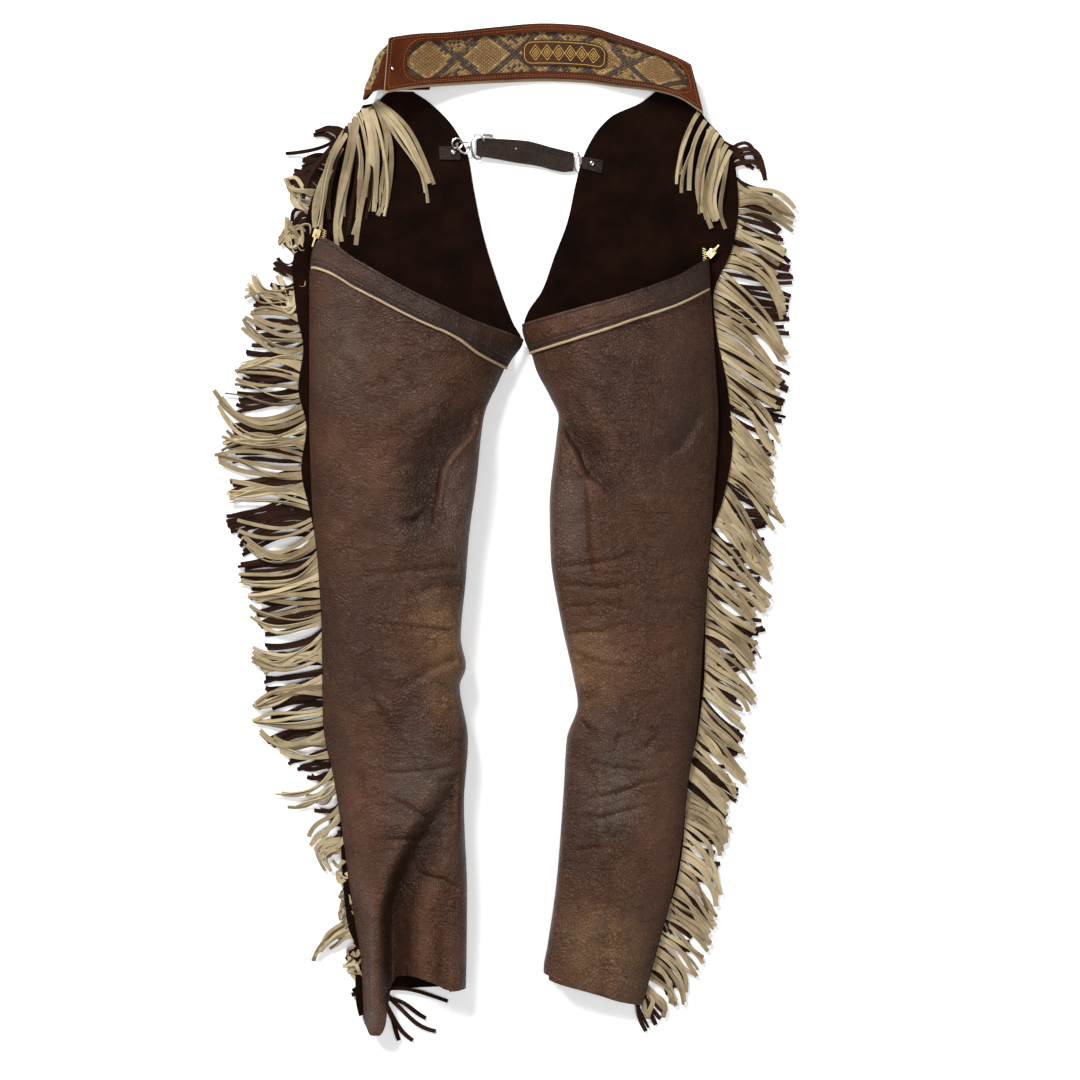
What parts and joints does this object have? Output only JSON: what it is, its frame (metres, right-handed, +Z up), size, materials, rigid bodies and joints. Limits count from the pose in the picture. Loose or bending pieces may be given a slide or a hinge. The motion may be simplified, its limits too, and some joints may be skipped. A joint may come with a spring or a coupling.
{
  "type": "leather chaps",
  "caption": "Fringed brown leather chaps laid face down, with tan and brown side fringe, banded thighs, an arched back belt with snakeskin inlay and a front strap.",
  "frame": {"origin": "centre of the underside of the bounding box, on the surface the chaps lie on", "axes": "+Y from the hems up to the waist, +Z up from the surface, +X towards the wearer's right leg"},
  "size_m": [0.575, 1.0265, 0.0638],
  "materials": {
    "dark_suede": "flesh side, matt dark brown",
    "brown_leather": "pebbled dark brown, satin, worn lighter on folds",
    "rust_leather": "smooth reddish brown, satin",
    "tan_leather": "smooth tan edge and piping",
    "strap_leather": "dark brown strap, satin",
    "tan_suede": "matt tan fringe",
    "brown_suede": "matt dark brown fringe",
    "snakeskin": "scaled snakeskin in tan and brown",
    "patch_leather": "dark brown patch with plain gold thread",
    "zip_tape": "woven black tape",
    "brass": "polished",
    "bright_steel": "nickel plated"
  },
  "bodies": {
    "chaps": {"left_front_panel": "dark_suede", "right_front_panel": "dark_suede", "left_back_panel": "brown_leather", "right_back_panel": "brown_leather", "left_thigh_band": "brown_leather", "right_thigh_band": "brown_leather", "left_band_piping": "tan_leather", "right_band_piping": "tan_leather", "left_fringe_tan": "tan_suede", "right_fringe_tan": "tan_suede", "left_fringe_brown": "brown_suede", "right_fringe_brown": "brown_suede", "left_hip_fringe": "tan_suede", "right_hip_fringe": "tan_suede", "left_zip": "zip_tape", "right_zip": "zip_tape", "left_zip_slider": "brass", "right_zip_slider": "brass", "left_front_yoke": "rust_leather", "right_front_yoke": "rust_leather", "left_hem_fringe": "brown_suede", "left_yoke_inlay": "snakeskin", "belt_backing": "tan_leather", "belt_face": "rust_leather", "belt_inlay": "snakeskin", "belt_patch": "patch_leather", "belt_rivet": "bright_steel", "front_strap": "strap_leather", "left_strap_tab": "dark_suede", "right_strap_tab": "dark_suede", "left_tab_rivet": "bright_steel", "right_tab_eyelet": "bright_steel", "strap_rivet": "bright_steel", "tab_ring": "bright_steel", "snap_hook": "bright_steel", "strap_loop": "bright_steel", "buckle_roller": "bright_steel", "right_loop": "bright_steel"},
    "left_pull": {"left_zip_pull": "brass"},
    "right_pull": {"right_zip_pull": "brass"},
    "gate": {"snap_gate": "bright_steel"}
  },
  "joints": [
    {"name": "left_pull_flip", "type": "hinge", "parent": "chaps", "child": "left_pull", "pos_m": [-0.1904, 0.303, 0.0126], "axis": [-0.9563, 0.2924, 0], "range_deg": [0, 160]},
    {"name": "right_pull_flip", "type": "hinge", "parent": "chaps", "child": "right_pull", "pos_m": [0.2024, 0.2832, 0.0126], "axis": [0.7431, -0.6691, 0], "range_deg": [0, 100]},
    {"name": "gate_swing", "type": "hinge", "parent": "chaps", "child": "gate", "pos_m": [-0.039, 0.3943, 0.0049], "axis": [0, 0, 1], "range_deg": [0, 22], "stiffness_Nm_per_rad": 0.002}
  ]
}
